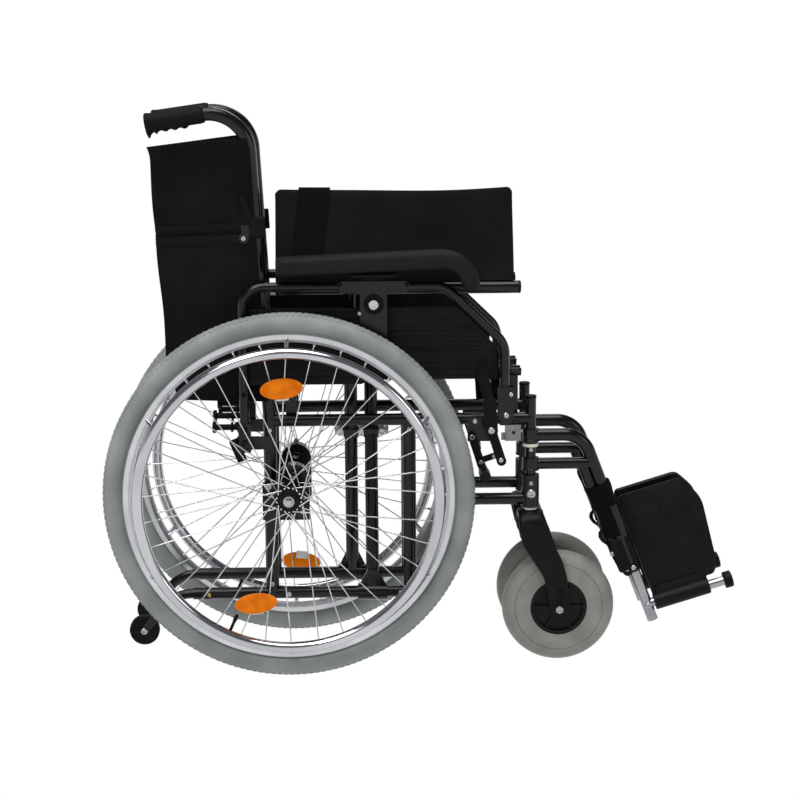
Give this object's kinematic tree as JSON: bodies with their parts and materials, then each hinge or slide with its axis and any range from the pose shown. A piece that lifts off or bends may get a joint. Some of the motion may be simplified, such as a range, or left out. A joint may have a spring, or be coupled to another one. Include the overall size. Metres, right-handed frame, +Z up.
{
  "type": "manual wheelchair",
  "caption": "Folding self-propelled wheelchair with spoked rear wheels, front casters, flip-back armrests and swing-away footrests, stored folded.",
  "frame": {"origin": "on the floor, in the middle of the folded chair's box", "axes": "+X forwards, +Y to the sitter's left, +Z up"},
  "size_m": [1.0542, 0.354, 0.9374],
  "materials": {
    "frame_paint": "gloss black powder coat",
    "steel": "zinc plated",
    "hub_black": "moulded black",
    "spoke_steel": "stainless",
    "rim_alloy": "satin aluminium",
    "tyre_grey": "grey rubber with fine tread",
    "chrome": "bright chrome",
    "fork_black": "satin black",
    "caster_grey": "pale grey solid tyre",
    "nylon": "black nylon with stitched seams",
    "grip_rubber": "soft black rubber",
    "plastic_black": "moulded black",
    "guard_plastic": "grained black",
    "pad_foam": "dark grey self-skinned foam",
    "latch_zinc": "zinc plated",
    "plate_plastic": "ribbed black plastic",
    "reflector": "clear orange",
    "reflector_clip": "pale"
  },
  "bodies": {
    "frame_right": {"side_frame_right": "frame_paint", "rear_axle_right": "steel"},
    "brace_front": {"brace_front": "frame_paint", "brace_bolt": "steel"},
    "brace_rear": {"brace_rear": "frame_paint"},
    "frame_left": {"side_frame_left": "frame_paint", "rear_axle_left": "steel"},
    "seat_cloth_left": {"seat_cloth_left": "nylon"},
    "seat_cloth_right": {"seat_cloth_right": "nylon"},
    "back_cloth_low_right": {"back_cloth_low_right": "nylon"},
    "push_cane_right": {"push_cane_right": "frame_paint", "push_grip_right": "grip_rubber"},
    "back_cloth_top_right": {"back_cloth_top_right": "nylon"},
    "back_catch_right": {"back_catch_right": "plastic_black"},
    "arm_right": {"arm_frame_right": "frame_paint", "side_guard_right": "guard_plastic"},
    "arm_pad_right": {"arm_pad_right": "pad_foam"},
    "brake_lever_right": {"brake_lever_right": "plastic_black"},
    "brake_shoe_right": {"brake_shoe_right": "plastic_black"},
    "wheel_right": {"rear_hub_right": "hub_black", "spokes_right": "spoke_steel", "rear_rim_right": "rim_alloy", "rear_tyre_right": "tyre_grey", "handrim_right": "chrome"},
    "axle_button_right": {"axle_button_right": "steel"},
    "caster_fork_right": {"caster_fork_right": "fork_black"},
    "caster_wheel_right": {"caster_rim_right": "hub_black", "caster_tyre_right": "caster_grey"},
    "hanger_right": {"hanger_right": "frame_paint"},
    "hanger_latch_right": {"hanger_latch_right": "latch_zinc"},
    "foot_tube_right": {"foot_tube_right": "chrome"},
    "footplate_right": {"footplate_right": "plate_plastic"},
    "anti_tip_right": {"anti_tip_tube_right": "frame_paint"},
    "anti_tip_wheel_right": {"anti_tip_wheel_right": "plastic_black"},
    "back_cloth_low_left": {"back_cloth_low_left": "nylon"},
    "push_cane_left": {"push_cane_left": "frame_paint", "push_grip_left": "grip_rubber"},
    "back_cloth_top_left": {"back_cloth_top_left": "nylon"},
    "back_catch_left": {"back_catch_left": "plastic_black"},
    "arm_left": {"arm_frame_left": "frame_paint", "side_guard_left": "guard_plastic"},
    "arm_pad_left": {"arm_pad_left": "pad_foam"},
    "brake_lever_left": {"brake_lever_left": "plastic_black"},
    "brake_shoe_left": {"brake_shoe_left": "plastic_black"},
    "wheel_left": {"rear_hub_left": "hub_black", "spokes_left": "spoke_steel", "rear_rim_left": "rim_alloy", "rear_tyre_left": "tyre_grey", "handrim_left": "chrome"},
    "axle_button_left": {"axle_button_left": "steel"},
    "caster_fork_left": {"caster_fork_left": "fork_black"},
    "caster_wheel_left": {"caster_rim_left": "hub_black", "caster_tyre_left": "caster_grey"},
    "hanger_left": {"hanger_left": "frame_paint"},
    "hanger_latch_left": {"hanger_latch_left": "latch_zinc"},
    "foot_tube_left": {"foot_tube_left": "chrome"},
    "footplate_left": {"footplate_left": "plate_plastic"},
    "anti_tip_left": {"anti_tip_tube_left": "frame_paint"},
    "anti_tip_wheel_left": {"anti_tip_wheel_left": "plastic_black"}
  },
  "joints": [
    {"name": "fold", "type": "hinge", "parent": "frame_right", "child": "brace_front", "pos_m": [-0.08615, -0.06, 0.122], "axis": [-1, 0, 0], "range_deg": [0, 31.25]},
    {"name": "brace_pivot", "type": "hinge", "parent": "brace_front", "child": "brace_rear", "pos_m": [-0.08615, 0, 0.38935], "axis": [-1, 0, 0], "range_deg": [-62.51, 0]},
    {"name": "brace_foot_left", "type": "hinge", "parent": "brace_rear", "child": "frame_left", "pos_m": [-0.12015, 0.06, 0.122], "axis": [-1, 0, 0], "range_deg": [0, 31.25]},
    {"name": "seat_cloth_left_turn", "type": "hinge", "parent": "brace_front", "child": "seat_cloth_left", "pos_m": [-0.22215, 0.05606, 0.63914], "axis": [-1, 0, 0], "range_deg": [-103.99, 0], "deforming": ["seat_cloth_left"]},
    {"name": "seat_cloth_right_turn", "type": "hinge", "parent": "brace_rear", "child": "seat_cloth_right", "pos_m": [-0.22215, -0.05606, 0.63914], "axis": [-1, 0, 0], "range_deg": [0, 103.99], "deforming": ["seat_cloth_right"]},
    {"name": "back_cloth_low_right_turn", "type": "hinge", "parent": "frame_right", "child": "back_cloth_low_right", "pos_m": [-0.25515, -0.06, 0.43], "axis": [0.0558, 0, -0.9984], "range_deg": [0, 72.66], "deforming": ["back_cloth_low_right"]},
    {"name": "back_fold", "type": "hinge", "parent": "frame_right", "child": "push_cane_right", "pos_m": [-0.29159, -0.06, 0.724], "axis": [0, 1, 0], "range_deg": [-90, 0]},
    {"name": "back_cloth_top_right_turn", "type": "hinge", "parent": "push_cane_right", "child": "back_cloth_top_right", "pos_m": [-0.25515, -0.06, 0.43], "axis": [0.0558, 0, -0.9984], "range_deg": [0, 72.66], "deforming": ["back_cloth_top_right"]},
    {"name": "back_catch_right_press", "type": "hinge", "parent": "push_cane_right", "child": "back_catch_right", "pos_m": [-0.27659, -0.06, 0.766], "axis": [0, 1, 0], "range_deg": [0, 12], "stiffness_Nm_per_rad": 1},
    {"name": "arm_flip_right", "type": "hinge", "parent": "frame_right", "child": "arm_right", "pos_m": [-0.29515, -0.06, 0.383], "axis": [0, -1, 0], "range_deg": [0, 90]},
    {"name": "arm_height_right", "type": "slide", "parent": "arm_right", "child": "arm_pad_right", "axis": [0, 0, 1], "range_m": [0, 0.06]},
    {"name": "brake_right", "type": "hinge", "parent": "frame_right", "child": "brake_lever_right", "pos_m": [0.11085, -0.06, 0.408], "axis": [0, 1, 0], "range_deg": [0, 50]},
    {"name": "brake_shoe_right_turn", "type": "hinge", "parent": "frame_right", "child": "brake_shoe_right", "pos_m": [0.08085, -0.06, 0.392], "axis": [0, 1, 0], "range_deg": [0, 9]},
    {"name": "wheel_right_spin", "type": "hinge", "parent": "frame_right", "child": "wheel_right", "pos_m": [-0.22215, -0.06, 0.305], "axis": [0, 1, 0], "continuous": true},
    {"name": "axle_button_right_press", "type": "slide", "parent": "frame_right", "child": "axle_button_right", "axis": [0, 1, 0], "range_m": [0, 0.002], "stiffness_N_per_m": 800},
    {"name": "caster_right_swivel", "type": "hinge", "parent": "frame_right", "child": "caster_fork_right", "pos_m": [0.17985, -0.06, 0.2], "axis": [0, 0, 1], "range_deg": [-180, 12]},
    {"name": "caster_wheel_right_spin", "type": "hinge", "parent": "caster_fork_right", "child": "caster_wheel_right", "pos_m": [0.22785, -0.06, 0.095], "axis": [0, 1, 0], "continuous": true},
    {"name": "hanger_right_swing", "type": "hinge", "parent": "frame_right", "child": "hanger_right", "pos_m": [0.17985, -0.06, 0.36], "axis": [0, 0, -1], "range_deg": [0, 90]},
    {"name": "hanger_latch_right_press", "type": "hinge", "parent": "frame_right", "child": "hanger_latch_right", "pos_m": [0.14985, -0.06, 0.398], "axis": [0, 1, 0], "range_deg": [0, 12], "stiffness_Nm_per_rad": 1},
    {"name": "foot_length_right", "type": "slide", "parent": "hanger_right", "child": "foot_tube_right", "axis": [-0.3584, 0, 0.9336], "range_m": [0, 0.03]},
    {"name": "footplate_right_flip", "type": "hinge", "parent": "foot_tube_right", "child": "footplate_right", "pos_m": [0.38071, -0.06, 0.09319], "axis": [-0.9563, 0, -0.2924], "range_deg": [0, 58.2]},
    {"name": "anti_tip_right_turn", "type": "hinge", "parent": "frame_right", "child": "anti_tip_right", "pos_m": [-0.36915, -0.06, 0.122], "axis": [1, 0, 0], "range_deg": [0, 180]},
    {"name": "anti_tip_wheel_right_spin", "type": "hinge", "parent": "anti_tip_right", "child": "anti_tip_wheel_right", "pos_m": [-0.47315, -0.06, 0.06], "axis": [0, 1, 0], "continuous": true},
    {"name": "back_cloth_low_left_turn", "type": "hinge", "parent": "frame_left", "child": "back_cloth_low_left", "pos_m": [-0.25515, 0.06, 0.43], "axis": [-0.0558, 0, 0.9984], "range_deg": [0, 72.66], "deforming": ["back_cloth_low_left"]},
    {"name": "back_fold_left", "type": "hinge", "parent": "frame_left", "child": "push_cane_left", "pos_m": [-0.29159, 0.06, 0.724], "axis": [0, 1, 0], "range_deg": [-90, 0]},
    {"name": "back_cloth_top_left_turn", "type": "hinge", "parent": "push_cane_left", "child": "back_cloth_top_left", "pos_m": [-0.25515, 0.06, 0.43], "axis": [-0.0558, 0, 0.9984], "range_deg": [0, 72.66], "deforming": ["back_cloth_top_left"]},
    {"name": "back_catch_left_press", "type": "hinge", "parent": "push_cane_left", "child": "back_catch_left", "pos_m": [-0.27659, 0.06, 0.766], "axis": [0, 1, 0], "range_deg": [0, 12], "stiffness_Nm_per_rad": 1},
    {"name": "arm_flip_left", "type": "hinge", "parent": "frame_left", "child": "arm_left", "pos_m": [-0.29515, 0.06, 0.383], "axis": [0, -1, 0], "range_deg": [0, 90]},
    {"name": "arm_height_left", "type": "slide", "parent": "arm_left", "child": "arm_pad_left", "axis": [0, 0, 1], "range_m": [0, 0.06]},
    {"name": "brake_left", "type": "hinge", "parent": "frame_left", "child": "brake_lever_left", "pos_m": [0.11085, 0.06, 0.408], "axis": [0, 1, 0], "range_deg": [0, 50]},
    {"name": "brake_shoe_left_turn", "type": "hinge", "parent": "frame_left", "child": "brake_shoe_left", "pos_m": [0.08085, 0.06, 0.392], "axis": [0, 1, 0], "range_deg": [0, 9]},
    {"name": "wheel_left_spin", "type": "hinge", "parent": "frame_left", "child": "wheel_left", "pos_m": [-0.22215, 0.06, 0.305], "axis": [0, 1, 0], "continuous": true},
    {"name": "axle_button_left_press", "type": "slide", "parent": "frame_left", "child": "axle_button_left", "axis": [0, -1, 0], "range_m": [0, 0.002], "stiffness_N_per_m": 800},
    {"name": "caster_left_swivel", "type": "hinge", "parent": "frame_left", "child": "caster_fork_left", "pos_m": [0.17985, 0.06, 0.2], "axis": [0, 0, -1], "range_deg": [-180, 12]},
    {"name": "caster_wheel_left_spin", "type": "hinge", "parent": "caster_fork_left", "child": "caster_wheel_left", "pos_m": [0.22785, 0.06, 0.095], "axis": [0, 1, 0], "continuous": true},
    {"name": "hanger_left_swing", "type": "hinge", "parent": "frame_left", "child": "hanger_left", "pos_m": [0.17985, 0.06, 0.36], "axis": [0, 0, 1], "range_deg": [0, 90]},
    {"name": "hanger_latch_left_press", "type": "hinge", "parent": "frame_left", "child": "hanger_latch_left", "pos_m": [0.14985, 0.06, 0.398], "axis": [0, 1, 0], "range_deg": [0, 12], "stiffness_Nm_per_rad": 1},
    {"name": "foot_length_left", "type": "slide", "parent": "hanger_left", "child": "foot_tube_left", "axis": [-0.3584, 0, 0.9336], "range_m": [0, 0.03]},
    {"name": "footplate_left_flip", "type": "hinge", "parent": "foot_tube_left", "child": "footplate_left", "pos_m": [0.38071, 0.06, 0.09319], "axis": [0.9563, 0, 0.2924], "range_deg": [0, 58.2]},
    {"name": "anti_tip_left_turn", "type": "hinge", "parent": "frame_left", "child": "anti_tip_left", "pos_m": [-0.36915, 0.06, 0.122], "axis": [-1, 0, 0], "range_deg": [0, 180]},
    {"name": "anti_tip_wheel_left_spin", "type": "hinge", "parent": "anti_tip_left", "child": "anti_tip_wheel_left", "pos_m": [-0.47315, 0.06, 0.06], "axis": [0, 1, 0], "continuous": true}
  ],
  "couplings": [
    {"joint": "brace_pivot", "follows": "fold", "ratio": -2},
    {"joint": "brace_foot_left", "follows": "fold", "ratio": 1},
    {"joint": "seat_cloth_left_turn", "follows": "fold", "ratio": -3.327},
    {"joint": "seat_cloth_right_turn", "follows": "fold", "ratio": 3.327},
    {"joint": "back_cloth_low_right_turn", "follows": "fold", "ratio": 2.3247},
    {"joint": "back_cloth_top_right_turn", "follows": "fold", "ratio": 2.3247},
    {"joint": "brake_shoe_right_turn", "follows": "brake_right", "ratio": 0.18},
    {"joint": "footplate_right_flip", "follows": "fold", "ratio": 1.86},
    {"joint": "back_cloth_low_left_turn", "follows": "fold", "ratio": 2.3247},
    {"joint": "back_cloth_top_left_turn", "follows": "fold", "ratio": 2.3247},
    {"joint": "brake_shoe_left_turn", "follows": "brake_left", "ratio": 0.18},
    {"joint": "footplate_left_flip", "follows": "fold", "ratio": 1.86},
    {"joint": "back_fold_left", "follows": "back_fold", "ratio": 1}
  ]
}
